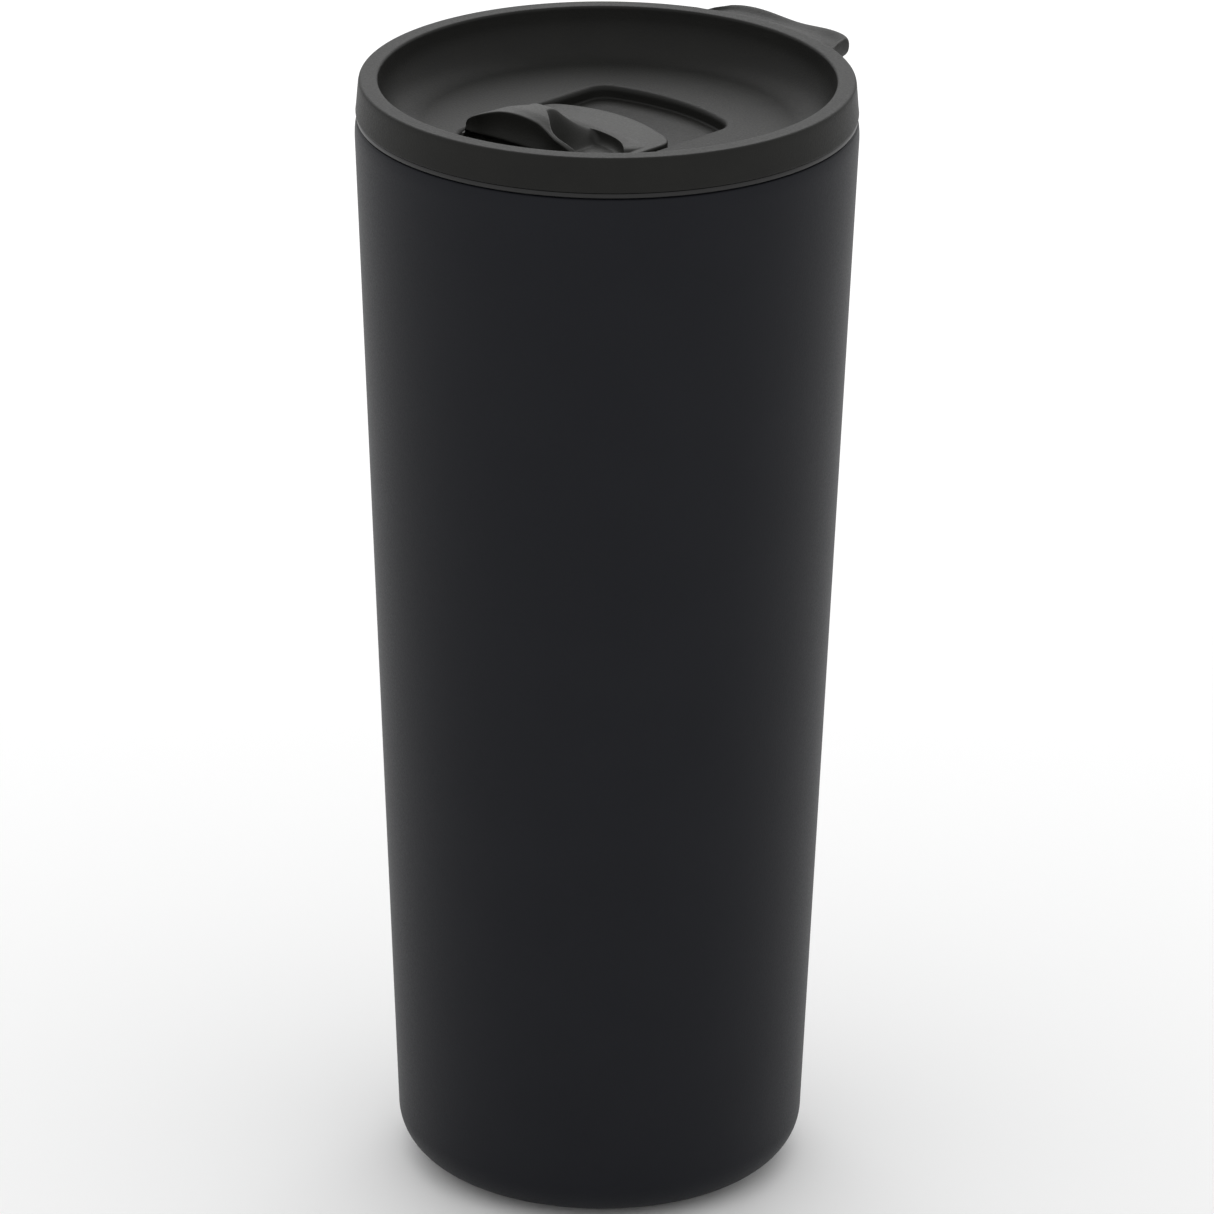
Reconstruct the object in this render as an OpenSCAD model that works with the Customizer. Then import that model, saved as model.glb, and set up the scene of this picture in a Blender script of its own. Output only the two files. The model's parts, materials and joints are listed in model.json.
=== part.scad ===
// Insulated travel mug with a press-in slider lid. Millimetres, +Z up.
// Origin: centre of the underside, z = 0 on the table.
// The lift tab points to +Y and the drinking side to -Y.

/* [Steel body] */
// Height of the steel lip above the table
body_h = 190; // [150:1:230]
// Outside diameter at the lip
top_d = 85; // [76:0.5:96]
// Outside diameter the cone would have at the table
base_d = 69.8; // [60:0.5:76]
// Radius of the rolled corner at the foot
foot_r = 8; // [5:0.5:12]
// Wall of the coated outer shell
shell_t = 0.8; // [0.5:0.1:1.2]
// Wall of the inner liner
liner_t = 0.6; // [0.4:0.1:1.0]
// Width of the steel lip, from the outside to the bore of the mouth
lip_w = 3; // [2.5:0.1:6]
// Depth of the straight mouth below the lip
mouth_h = 15; // [13:0.5:30]
// Vacuum gap between shell and liner low down
vacuum_gap = 2.9; // [1.5:0.1:6]
// Height of the liner floor above the table
liner_z = 10; // [9:0.5:20]
// Small inward roll at the lip
lip_roll = 0.3; // [0.1:0.1:0.5]

/* [Base] */
// Width of the flat ring that the shell ends in
base_ring_w = 2.2; // [1.5:0.1:6]
// Thickness of the welded base disc
base_t = 0.8; // [0.5:0.1:1.2]
// Height of the foot ring under the shell
foot_h = 0.8; // [0.5:0.1:2]
// How far the foot ring laps the flat ring
foot_lap = 1.9; // [1:0.1:2.2]
// Width of the foot ring
foot_w = 6.9; // [4:0.1:10]
// Diameter of the disc over the evacuation dimple
cover_d = 30; // [24:1:34]
// Diameter of the getter pellet
getter_d = 10; // [6:0.5:14]
// Thickness of the foil round the liner
foil_t = 0.1; // [0.05:0.05:0.3]

/* [Lid] */
// Height of the lid band above the seal flange
lid_h = 5.9; // [4:0.1:9]
// Step of the lid band inside the outside of the steel lip
lid_step = 0.25; // [0:0.05:1.5]
// Draft of the lid band over its height
lid_draft = 0.5; // [0:0.1:1]
// Depth of the bowl below the rim
bowl_depth = 8.15; // [6:0.1:9]
// Radius between bowl wall and bowl floor
bowl_r = 7; // [3:0.5:7.5]
// Thickness of the bowl floor
floor_t = 2; // [1.4:0.1:3]
// Wall of the plug that goes into the mouth
plug_t = 2; // [1.4:0.1:3]
// Depth of the plug below the lid band
plug_h = 14.5; // [13:0.5:20]
// Reach of the lift tab beyond the lid band
tab_reach = 6.3; // [4:0.1:10]
// Half the angle the lift tab spans
tab_half = 20; // [12:1:30]
// Thickness of the lift tab
tab_t = 3.2; // [2.5:0.1:5]

/* [Seal] */
// Thickness of the seal flange on the lip
flange_t = 1; // [0.6:0.1:1.5]
// Wall of the seal sleeve
sleeve_t = 0.8; // [0.6:0.1:1.2]
// Free space between seal fin and mouth
fin_gap = 0.15; // [0.1:0.05:0.3]

/* [Slider] */
// Width of the recess the slider runs in
slot_w = 30; // [24:0.5:34]
// Length of the recess on the centre line
slot_l = 41.3; // [36:0.1:44]
// Drinking-side end of the recess, distance from the axis
slot_front = 24.3; // [20:0.1:26]
// Depth of the recess below the bowl floor
slot_depth = 2.2; // [1.8:0.1:3]
// Radius of the curved ends of recess and slider
end_r = 39; // [25:1:60]
// Corner radius of the recess
corner_r = 3.8; // [1.5:0.5:5]
// Length of the slider on the centre line
slider_l = 27.3; // [25:0.1:30]
// Travel of the slider from shut to open
slider_travel = 13.2; // [8:0.1:14]
// Crown of the slider across its width
crown = 0.7; // [0.2:0.1:1.2]
// Height of the grip above the bowl floor
grip_h = 7; // [4:0.1:7.6]
// Width of the grip
grip_w = 26; // [18:0.5:27]
// Width of the drinking hole
hole_w = 18; // [12:0.5:19]
// Length of the drinking hole
hole_l = 8.2; // [5:0.1:9]
// Thickness of the slider legs
leg_t = 1.6; // [1.2:0.1:1.8]
// Length of the slider legs along the travel
leg_l = 3.5; // [2:0.1:4]

/* [Fits] */
// Space between the seal flange and the steel lip
lip_gap = 0.1; // [0.05:0.05:0.3]
// Side space between slider and recess
side_gap = 0.5; // [0.2:0.05:0.8]
// Space between slider and recess end when shut
end_gap = 0.3; // [0.2:0.05:0.6]
// Space under the slider plate
under_gap = 0.3; // [0.15:0.05:0.5]
// Space under the silicone pad
pad_gap = 0.1; // [0.05:0.05:0.2]
// Space round the legs in their slots
leg_gap = 0.25; // [0.15:0.05:0.4]
// Space between lid underside and retainer
clip_gap = 0.3; // [0.15:0.05:0.5]

/* [Hidden] */
$fn = 96;
eps = 0.01;

shell_r1 = top_d / 2;
shell_r0 = base_d / 2;
shell_k = (shell_r1 - shell_r0) / body_h;
cone_a = atan(shell_k);
mouth_r = shell_r1 - lip_w;
liner_bend = 8;
liner_low_z = liner_z + liner_bend;
liner_r0 = cone_r(liner_low_z) - shell_t - vacuum_gap - liner_t;
liner_k = (mouth_r - liner_r0) / (body_h - mouth_h - liner_low_z);
shell_z0 = foot_h;
foot_cx = cone_r(foot_r) - foot_r / cos(cone_a) + 0.02;
base_hole_r = foot_cx - base_ring_w;
getter_x = liner_r0 - liner_bend - getter_d / 2 + 1.7;

lid_z = body_h + lip_gap + flange_t;
top_z = lid_z + lid_h;
floor_z = top_z - bowl_depth;
lid_r0 = shell_r1 - lid_step;
lid_r1 = lid_r0 - lid_draft;
plug_r = mouth_r - fin_gap - 0.65 - sleeve_t;
plug_bot = lid_z - plug_h;
plug_in = plug_r - plug_t;
bowl_wall_r = plug_r + 0.45;

slot_y0 = -slot_front;
slot_y1 = slot_y0 + slot_l;
slot_z = floor_z - slot_depth;
box_z = slot_z - 1.8;
sl_w = slot_w / 2 - side_gap;
sl_y0 = slot_y0 + end_gap;
sl_y1 = sl_y0 + slider_l;
sl_bot = slot_z + under_gap;
sl_top = floor_z + 0.1 + crown;
crown_r = sl_w * sl_w / (2 * crown);
grip_top = floor_z + grip_h;
lip_y = sl_y0 + 2.2;
lip_z = sl_top + 0.75;
nail_z = sl_bot + 1.4;

hole_y1 = sl_y0 + 10;
hole_y0 = hole_y1 - hole_l;
pad_w = hole_w / 2 + 1.3;
pad_y0 = hole_y0 - 0.7;
pad_y1 = hole_y1 + 0.8;
pad_top = sl_bot + 0.5;
leg_x = sl_w - 1.5 - leg_t;
leg_y0 = sl_y0 + 8.5;
leg_y1 = leg_y0 + leg_l;
clip_top = box_z - clip_gap;
clip_t = 1.8;
clip_bot = clip_top - clip_t;
tip_z = clip_bot - 1.2;

seal_z0 = lid_z - 13;
base_top = shell_z0 + shell_t + base_t;
dimple_z = base_top + 1.4;

// Points of an arc, angles in degrees
function arc(cx, cy, r, a0, a1, n) =
    [for (i = [0:n]) let (a = a0 + (a1 - a0) * i / n) [cx + r * cos(a), cy + r * sin(a)]];

// Radius of the outer cone at height z
function cone_r(z) = shell_r0 + shell_k * z;

// Plate outline: straight sides, curved ends, rounded corners
module outline(w, y0, y1, rr, rc) {
    h = sqrt((rr - rc) * (rr - rc) - (w - rc) * (w - rc));
    xt = (w - rc) * rr / (rr - rc);
    yu = y1 - rr + h;
    yd = y0 + rr - h;
    intersection() {
        translate([-xt, y0 - 1]) square([2 * xt, y1 - y0 + 2]);
        translate([0, y1 - rr]) circle(r = rr, $fn = 240);
        translate([0, y0 + rr]) circle(r = rr, $fn = 240);
    }
    translate([-w, yd]) square([2 * w, yu - yd]);
    for (sx = [-1, 1]) {
        translate([sx * (w - rc), yu]) circle(r = rc, $fn = 48);
        translate([sx * (w - rc), yd]) circle(r = rc, $fn = 48);
    }
}

// Rectangle with rounded corners
module pill(w, y0, y1, rc) {
    translate([-w, y0 + rc]) square([2 * w, y1 - y0 - 2 * rc]);
    translate([rc - w, y0]) square([2 * w - 2 * rc, y1 - y0]);
    for (sx = [-1, 1]) {
        translate([sx * (w - rc), y0 + rc]) circle(r = rc, $fn = 32);
        translate([sx * (w - rc), y1 - rc]) circle(r = rc, $fn = 32);
    }
}

module slab(z0, z1) {
    translate([0, 0, z0]) linear_extrude(z1 - z0) children();
}

module outer_shell() {
    color("#232326")
    rotate_extrude($fn = 180) polygon(concat(
        [[base_hole_r, shell_z0]],
        arc(foot_cx, shell_z0 + foot_r, foot_r, -90, -cone_a, 10),
        [[cone_r(body_h - 3), body_h - 3]],
        arc(cone_r(body_h) - lip_roll - 0.6, body_h - 0.6, 0.6, 0, 90, 4),
        [[mouth_r + liner_t, body_h], [mouth_r + liner_t, body_h - shell_t]],
        [[cone_r(body_h) - shell_t - lip_roll - 0.2, body_h - shell_t]],
        [[cone_r(body_h - 3) - shell_t, body_h - 3]],
        arc(foot_cx, shell_z0 + foot_r, foot_r - shell_t, -cone_a, -90, 10),
        [[base_hole_r, shell_z0 + shell_t]]
    ));
}

module shell_base() {
    color("#b9bcc0")
    rotate_extrude($fn = 144) polygon([
        [1.2, dimple_z - base_t], [7, dimple_z - base_t], [9, base_top - base_t],
        [base_hole_r + 2.2, base_top - base_t], [base_hole_r + 2.2, base_top],
        [9.4, base_top], [7.4, dimple_z], [1.2, dimple_z]
    ]);
}

module inner_liner() {
    bend_x = liner_r0 - liner_bend;
    bend_z = liner_low_z;
    color("#c3c6ca")
    rotate_extrude($fn = 180) polygon(concat(
        [[0, liner_z]],
        arc(bend_x, bend_z, liner_bend, -90, 0, 8),
        [[mouth_r, body_h - mouth_h], [mouth_r, body_h]],
        [[mouth_r + liner_t, body_h], [mouth_r + liner_t, body_h - mouth_h]],
        arc(bend_x, bend_z, liner_bend + liner_t, 0, -90, 8),
        [[0, liner_z - liner_t]]
    ));
}

module liner_foil() {
    z0 = liner_low_z + 8;
    z1 = body_h - mouth_h - 6;
    r0 = liner_r0 + liner_k * (z0 - liner_low_z) + liner_t + 0.08;
    r1 = liner_r0 + liner_k * (z1 - liner_low_z) + liner_t + 0.08;
    color("#b87333")
    rotate_extrude($fn = 144)
        polygon([[r0, z0], [r1, z1], [r1 + foil_t, z1], [r0 + foil_t, z0]]);
}

module getter_clip() {
    zt = liner_z - liner_t;
    color("#aeb2b6")
    translate([getter_x, 0, 0]) difference() {
        translate([0, 0, zt - 2.2]) cylinder(h = 2.2, r = getter_d / 2 + 0.6);
        translate([0, 0, zt - 1.6]) cylinder(h = 1.6 + eps, r = getter_d / 2 + 0.05);
        translate([0, 0, zt - 3]) cylinder(h = 2, r = getter_d / 2 - 1.2);
    }
}

module getter() {
    color("#5a5c60")
    translate([getter_x, 0, liner_z - liner_t - 1.55]) cylinder(h = 1.4, r = getter_d / 2);
}

module vacuum_seal() {
    color("#8a8f88")
    rotate_extrude($fn = 48) polygon([
        [0, dimple_z - base_t - 0.7], [1.6, dimple_z - base_t - 0.7], [2.4, dimple_z - base_t],
        [1.2, dimple_z - base_t], [1.2, dimple_z - 0.2], [0, dimple_z - 0.2]
    ]);
}

module base_cover() {
    color("#c3c6ca")
    rotate_extrude($fn = 96) polygon([
        [0, base_top - base_t - 0.5], [cover_d / 2, base_top - base_t - 0.5],
        [cover_d / 2, base_top - base_t], [0, base_top - base_t]
    ]);
}

module foot_ring() {
    ro = base_hole_r + foot_lap;
    ri = ro - foot_w;
    color("#1a1a1b")
    rotate_extrude($fn = 144) polygon([
        [ri, 0.3], [ri + 0.3, 0], [ro - 0.3, 0], [ro, 0.3],
        [ro, shell_z0], [base_hole_r, shell_z0], [base_hole_r, base_top - base_t],
        [ri, base_top - base_t]
    ]);
}

module lid_ring() {
    rotate_extrude($fn = 180) polygon(concat(
        [[0, floor_z - floor_t], [plug_in - 2, floor_z - floor_t], [plug_in, floor_z - floor_t - 2]],
        [[plug_in, plug_bot + 0.6], [plug_in + 0.6, plug_bot], [plug_r - 0.8, plug_bot]],
        [[plug_r, plug_bot + 0.8], [plug_r, seal_z0], [plug_r - 0.8, seal_z0]],
        [[plug_r - 0.8, seal_z0 + 2], [plug_r, seal_z0 + 2], [plug_r, lid_z]],
        [[lid_r0 - 0.2, lid_z], [lid_r0, lid_z + 0.2]],
        arc(lid_r1 - 0.6, top_z - 0.6, 0.6, 5, 90, 5),
        arc(bowl_wall_r + 1, top_z - 0.6, 0.6, 90, 170, 5),
        arc(bowl_wall_r - bowl_r, floor_z + bowl_r, bowl_r, 0, -90, 10),
        [[0, floor_z]]
    ));
}

module lift_tab() {
    ro = lid_r0 + tab_reach;
    zt = top_z - 0.5;
    zb = zt - tab_t;
    ri = lid_r1 - 1.2;
    intersection() {
        rotate_extrude($fn = 180) polygon(concat(
            [[ri, zb], [ro - 1.6, zb]],
            arc(ro - 1.6, zb + 1.6, 1.6, -90, 0, 6),
            arc(ro - 1, zt - 1, 1, 0, 90, 6),
            arc((ri + ro) / 2, zt + 21.4, 21.6, -82.5, -97.5, 8),
            [[ri, zt]]
        ));
        slab(zb - 1, zt + 1) tab_outline(ro);
    }
}

// Tab seen from above: two rounded corners on an arc
module tab_outline(ro) {
    rc = 3;
    difference() {
        union() {
            intersection() {
                circle(r = ro, $fn = 240);
                polygon([[0, 0], [60 * sin(tab_half - 4), 60 * cos(tab_half - 4)],
                    [0, 80], [-60 * sin(tab_half - 4), 60 * cos(tab_half - 4)]]);
            }
            intersection() {
                circle(r = ro - rc, $fn = 240);
                polygon([[0, 0], [60 * sin(tab_half), 60 * cos(tab_half)],
                    [0, 80], [-60 * sin(tab_half), 60 * cos(tab_half)]]);
            }
            for (s = [-1, 1])
                rotate(-s * (tab_half - 3.9)) translate([0, ro - rc]) circle(r = rc, $fn = 48);
        }
        circle(r = lid_r1 - 1.5, $fn = 180);
    }
}

module lid_body() {
    color("#1f1f20")
    difference() {
        union() {
            lid_ring();
            lift_tab();
            slab(box_z, floor_z - 0.5) outline(slot_w / 2 + 1.6, slot_y0 - 1.6, slot_y1 + 1.6, end_r + 1.6, corner_r + 1.6);
        }
        slab(slot_z, floor_z + 1) outline(slot_w / 2, slot_y0, slot_y1, end_r, corner_r);
        slab(box_z - 1, slot_z + 1) pill(hole_w / 2, hole_y0, hole_y1, 2.5);
        for (sx = [-1, 1])
            slab(box_z - 1, slot_z + 1) translate([sx * (leg_x + leg_t / 2), 0])
                pill(leg_t / 2 + leg_gap, leg_y0 - leg_gap, leg_y1 + slider_travel + leg_gap, 0.3);
    }
}

module lid_seal() {
    so = plug_r + sleeve_t;
    fo = mouth_r - fin_gap;
    fl = lid_r0 - 0.15;
    color("#2b2b2c")
    rotate_extrude($fn = 180) polygon([
        [plug_r, lid_z], [plug_r, seal_z0 + 2], [plug_r - 0.8, seal_z0 + 2],
        [plug_r - 0.8, seal_z0], [so - 0.4, seal_z0], [so, seal_z0 + 0.6],
        [so, seal_z0 + 2.4], [fo, seal_z0 + 4.6], [fo, seal_z0 + 4.9], [so, seal_z0 + 4.4],
        [so, seal_z0 + 7], [fo, seal_z0 + 9.2], [fo, seal_z0 + 9.5], [so, seal_z0 + 9],
        [so, lid_z - flange_t - 0.3], [so + 0.3, lid_z - flange_t],
        [fl - 0.2, lid_z - flange_t], [fl, lid_z - flange_t + 0.2],
        [fl, lid_z - 0.2], [fl - 0.2, lid_z]
    ]);
}

module slider_leg(sx) {
    translate([sx * leg_x, leg_y0, 0]) mirror([sx < 0 ? 1 : 0, 0, 0])
        translate([0, leg_l, 0]) rotate([90, 0, 0]) linear_extrude(leg_l) polygon([
            [0, sl_bot + 0.2], [0, tip_z], [leg_t * 0.6, tip_z], [leg_t + 0.35, clip_bot - 0.45],
            [leg_t + 0.35, clip_bot - 0.05], [leg_t, clip_bot - 0.05], [leg_t, sl_bot + 0.2]
        ]);
}

// Side view of the grip, y across and z up: lip, face, crest, then a
// hollow sweep down to the plate
module grip_side() {
    foot_z = sl_top - 0.2;
    foot_y = sl_y0 + 20.2;
    crest_r = 1.5;
    crest_y = sl_y0 + 8.8;
    crest_z = grip_top - crest_r;
    crest_a = 31;
    sweep_w = foot_y - crest_y - crest_r * cos(crest_a);
    sweep_h = crest_z + crest_r * sin(crest_a) - foot_z;
    sweep_r = (sweep_w * sweep_w + sweep_h * sweep_h) / (2 * sweep_h);
    sweep_a = asin(sweep_w / sweep_r);
    polygon(concat(
        [[lip_y + 2, sl_bot + 0.6], [lip_y + 2, lip_z - 0.35]],
        arc(lip_y + 0.35, lip_z, 0.35, 270, 180, 4),
        arc(lip_y + 0.9, grip_top - 0.8, 0.4, 170, 96, 4),
        arc(crest_y, crest_z, crest_r, 92, crest_a, 5),
        arc(foot_y, foot_z + sweep_r, sweep_r, 270 - sweep_a, 270, 10),
        [[foot_y, sl_bot + 0.6]]
    ));
}

module slider() {
    color("#2a2a2b")
    difference() {
        union() {
            intersection() {
                slab(sl_bot, sl_top + 1) outline(sl_w, sl_y0, sl_y1, end_r, corner_r - 0.3);
                translate([0, sl_y0 - 1, sl_top - crown_r]) rotate([-90, 0, 0])
                    cylinder(h = slider_l + 2, r = crown_r, $fn = 720);
            }
            intersection() {
                translate([0, 0, 0]) rotate([90, 0, 90])
                    translate([0, 0, -grip_w / 2]) linear_extrude(grip_w) grip_side();
                translate([0, 20, 0]) rotate([90, 0, 0]) linear_extrude(60)
                    outline(grip_w / 2, grip_top - 30, grip_top, 22, 4);
            }
            for (sx = [-1, 1]) slider_leg(sx);
        }
        slab(sl_bot - 1, pad_top) pill(pad_w, pad_y0, pad_y1, 3);
        for (sx = [-1, 1]) grip_scoop(sx);
        slab(nail_z, lip_z - 0.5) translate([1 - grip_w / 2, sl_y0 - 1]) square([grip_w - 2, lip_y + 3.1 - sl_y0]);
    }
}

// Finger scoop beside the spine, open to the side of the plate
module grip_scoop(sx) {
    slab(sl_bot + 1.05, grip_top + 2) intersection() {
        translate([sx * 4.9, sl_y0 + 6.2]) circle(r = 11.5, $fn = 120);
        translate([sx > 0 ? 2.6 : -22.6, sl_y0 + 6.2]) square([20, 20]);
    }
}

module slider_seal() {
    color("#3a3a3c")
    difference() {
        slab(slot_z + pad_gap, pad_top) pill(pad_w, pad_y0, pad_y1, 3);
        slab(slot_z - 1, slot_z + pad_gap + 0.4) pill(hole_w / 2 - 1.6, hole_y0 + 1.6, hole_y1 - 1.6, 1.5);
    }
}

module slider_retainer() {
    color("#2a2a2b")
    difference() {
        slab(clip_bot, clip_top) pill(leg_x + leg_t + 1.4, leg_y0 - 1.4, leg_y1 + 1.4, 1.4);
        for (sx = [-1, 1])
            slab(clip_bot - 1, clip_top + 1) translate([sx * (leg_x + leg_t / 2), 0])
                pill(leg_t / 2 + 0.05, leg_y0 - 0.05, leg_y1 + 0.05, 0.2);
    }
}

outer_shell();
shell_base();
inner_liner();
liner_foil();
getter();
getter_clip();
vacuum_seal();
base_cover();
foot_ring();
lid_body();
lid_seal();
slider();
slider_seal();
slider_retainer();
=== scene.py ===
import bpy
import bmesh
import json
from math import sin, cos, radians, degrees, sqrt, pi, atan2
from mathutils import Vector, Matrix

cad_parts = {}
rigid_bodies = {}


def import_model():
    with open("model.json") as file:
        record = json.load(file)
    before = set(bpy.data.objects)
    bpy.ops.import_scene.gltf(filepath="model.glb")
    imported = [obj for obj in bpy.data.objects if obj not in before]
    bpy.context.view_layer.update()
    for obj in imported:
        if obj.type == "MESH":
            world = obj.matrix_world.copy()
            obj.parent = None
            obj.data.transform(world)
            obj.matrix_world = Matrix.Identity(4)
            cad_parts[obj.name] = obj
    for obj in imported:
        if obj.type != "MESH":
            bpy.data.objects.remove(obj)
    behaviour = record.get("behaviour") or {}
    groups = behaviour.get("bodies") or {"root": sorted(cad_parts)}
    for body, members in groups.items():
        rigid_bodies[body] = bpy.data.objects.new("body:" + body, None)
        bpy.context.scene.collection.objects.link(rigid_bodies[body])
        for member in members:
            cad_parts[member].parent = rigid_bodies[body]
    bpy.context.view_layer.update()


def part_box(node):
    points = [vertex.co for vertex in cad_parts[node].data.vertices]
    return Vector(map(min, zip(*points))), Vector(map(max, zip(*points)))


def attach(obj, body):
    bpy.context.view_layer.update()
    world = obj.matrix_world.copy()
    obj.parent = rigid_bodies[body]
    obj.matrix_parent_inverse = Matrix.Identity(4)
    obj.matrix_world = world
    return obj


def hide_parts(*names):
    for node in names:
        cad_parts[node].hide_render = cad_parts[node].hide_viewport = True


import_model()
MM = 0.001

# Sizes in millimetres, worked out from the frame's own boxes.


def mm_box(node):
    low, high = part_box(node)
    return [v / MM for v in low], [v / MM for v in high]


SHELL_LOW, SHELL_HIGH = mm_box("outer_shell")
LINER_LOW, LINER_HIGH = mm_box("inner_liner")
LID_LOW, LID_HIGH = mm_box("lid_body")
SEAL_LOW, SEAL_HIGH = mm_box("lid_seal")
SLIDE_HIGH = mm_box("slider")[1]
PAD_LOW, PAD_HIGH = mm_box("slider_seal")
CLIP_LOW, CLIP_HIGH = mm_box("slider_retainer")
BASE_LOW = mm_box("shell_base")[0]
COVER_LOW, COVER_HIGH = mm_box("base_cover")
FOOT_HIGH = mm_box("foot_ring")[1]

LIP = SHELL_HIGH[2]
TOP = LID_HIGH[2]
BAND = SEAL_HIGH[2]
FLOOR = TOP - 8.15
SINK = FLOOR - 2.2
BAND_R = LID_HIGH[0]
RIM_R = BAND_R - 0.5
WALL_R = RIM_R - 3.4
MOUTH_R = LINER_HIGH[0] - 0.6
PLUG_R = SEAL_HIGH[0] - 4.2

# Sizes that the boxes don't give.

CONE_FOOT_R, CONE_LIP_R, CONE_H = 34.9, 42.5, 190.0  # the coated cone
SHELL_WALL, LINER_WALL = 0.8, 0.6
FOOT_BEND, LINER_BEND = 8.0, 8.0
BASE_HOLE_R, BASE_R, COVER_R = 25.0, 27.2, 15.0
FOOT_W = 6.9
LINER_LOW_R = 31.3
MOUTH_DEPTH = 15.0
PLUG_WALL = 2.0
LID_FLOOR = 2.0
RECESS = (15.0, -24.3, 17.0, 39.0, 3.8)  # half width, both ends, end radius, corner
HOLE = (9.0, -22.2, -14.0, 2.5)          # half width, both ends, corner
LEG_X, LEG_HALF = 12.2, 0.8              # middle and half thickness of a leg
LEG_Y0, LEG_Y1, SLIDE_TRAVEL = -15.5, -12.0, 13.2
LEG_ROOM = 0.25


# ---------------------------------------------------------------- mesh helpers

def arc(cx, cz, r, a0, a1, n):
    """Points of an arc in a profile, angles in degrees."""
    return [(cx + r * cos(radians(a0 + (a1 - a0) * i / n)),
             cz + r * sin(radians(a0 + (a1 - a0) * i / n))) for i in range(n + 1)]


def straight(a, b, n):
    """Points between a and b, without the ends."""
    return [(a[0] + (b[0] - a[0]) * i / n, a[1] + (b[1] - a[1]) * i / n) for i in range(1, n)]


def smooth(t):
    t = max(0.0, min(1.0, t))
    return t * t * (3 - 2 * t)


def chain(bm, points, closed=False):
    """Vertices joined by edges along a list of points in millimetres."""
    verts = [bm.verts.new((p[0] * MM, p[1] * MM, p[2] * MM)) for p in points]
    edges = [bm.edges.new((a, b)) for a, b in zip(verts, verts[1:])]
    if closed:
        edges.append(bm.edges.new((verts[-1], verts[0])))
    return edges


def verts_of(edges):
    """Each vertex of some edges once, in order."""
    return list(dict.fromkeys(v for e in edges for v in e.verts))


def spin_profile(bm, profile, sweeps=((360.0, 240),), start=0.0):
    """Turn an (r, z) profile about the mug's axis in one or more sweeps."""
    at = radians(start)
    edges = chain(bm, [(r * cos(at), r * sin(at), z) for r, z in profile])
    geom = verts_of(edges) + edges
    for angle, steps in sweeps:
        made = bmesh.ops.spin(bm, geom=geom, cent=(0, 0, 0), axis=(0, 0, 1),
                              angle=radians(angle), steps=steps, use_duplicate=False)
        geom = made["geom_last"]
    bmesh.ops.remove_doubles(bm, verts=bm.verts, dist=2e-6)


def loft(bm, loops):
    """Bridge closed loops of points one after another and return their edges."""
    rings = [chain(bm, loop, closed=True) for loop in loops]
    for a, b in zip(rings, rings[1:]):
        bmesh.ops.bridge_loops(bm, edges=a + b)
    return rings


def fill(bm, edges, up=1):
    """Flat face between an outer loop and any loops inside it."""
    bmesh.ops.triangle_fill(bm, use_beauty=True, use_dissolve=False, edges=edges,
                            normal=(0, 0, up))


def place(name, data):
    """Object for some data, put in the scene."""
    obj = bpy.data.objects.new(name, data)
    bpy.context.scene.collection.objects.link(obj)
    return obj


def finish_piece(bm, name, body, material, stands_for=(), sharp=38.0):
    bmesh.ops.remove_doubles(bm, verts=bm.verts, dist=1e-6)
    bmesh.ops.recalc_face_normals(bm, faces=bm.faces)
    mesh = bpy.data.meshes.new(name)
    bm.to_mesh(mesh)
    bm.free()
    mesh.polygons.foreach_set("use_smooth", [True] * len(mesh.polygons))
    mesh.set_sharp_from_angle(angle=radians(sharp))
    mesh.materials.append(material)
    obj = place(name, mesh)
    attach(obj, body)
    if stands_for:
        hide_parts(*stands_for)
    return obj


# ------------------------------------------------------------ plate outlines

def end_line(x, w, y_end, r, rc, sign):
    """Curved end of a plate, with its corner, at sideways place x."""
    x = min(abs(x), w)
    yc = (r - rc) ** 2 - (w - rc) ** 2
    centre = y_end - sign * r
    if x <= (w - rc) * r / (r - rc):
        return centre + sign * sqrt(r * r - x * x)
    return centre + sign * (sqrt(yc) + sqrt(max(0.0, rc * rc - (x - (w - rc)) ** 2)))


def plate_loop(w, y0, y1, r, rc, z, n=22, m=8):
    """Closed loop round a plate with curved ends and rounded corners."""
    h = sqrt((r - rc) ** 2 - (w - rc) ** 2)
    turn = degrees(atan2(h, w - rc))
    right = arc(w - rc, y1 - r + h, rc, 0, turn, m) + arc(0, y1 - r, r, turn, 90, n)[1:]
    upper = right + [(-x, y) for x, y in reversed(right[:-1])]
    mid = (y0 + y1) / 2
    lower = [(x, 2 * mid - y) for x, y in reversed(upper)]
    return [(x, y, z) for x, y in upper + lower]


def pill_loop(w, y0, y1, rc, z, cx=0.0, m=6):
    """Closed loop of a rectangle with rounded corners."""
    pts = arc(w - rc, y1 - rc, rc, 0, 90, m) + arc(rc - w, y1 - rc, rc, 90, 180, m)
    pts += arc(rc - w, y0 + rc, rc, 180, 270, m) + arc(w - rc, y0 + rc, rc, 270, 360, m)
    return [(x + cx, y, z) for x, y in pts]


# ------------------------------------------------------------------ materials

def lin(code):
    """sRGB hex to linear colour."""
    out = []
    for i in (0, 2, 4):
        c = int(code[i:i + 2], 16) / 255.0
        out.append(c / 12.92 if c <= 0.04045 else ((c + 0.055) / 1.055) ** 2.4)
    return (*out, 1.0)


MIX_A, MIX_B, MIX_OUT = 6, 7, 2  # colour sockets of a mix node


def node(mat, kind, settings=None, links=None):
    """Add one node, set its values and link its inputs."""
    tree = mat.node_tree
    n = tree.nodes.new(kind)
    for key, value in (settings or {}).items():
        if isinstance(key, int) or key in n.inputs:
            n.inputs[key].default_value = value
        else:
            setattr(n, key, value)
    for key, src in (links or {}).items():
        tree.links.new(src, n.inputs[key])
    return n


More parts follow.
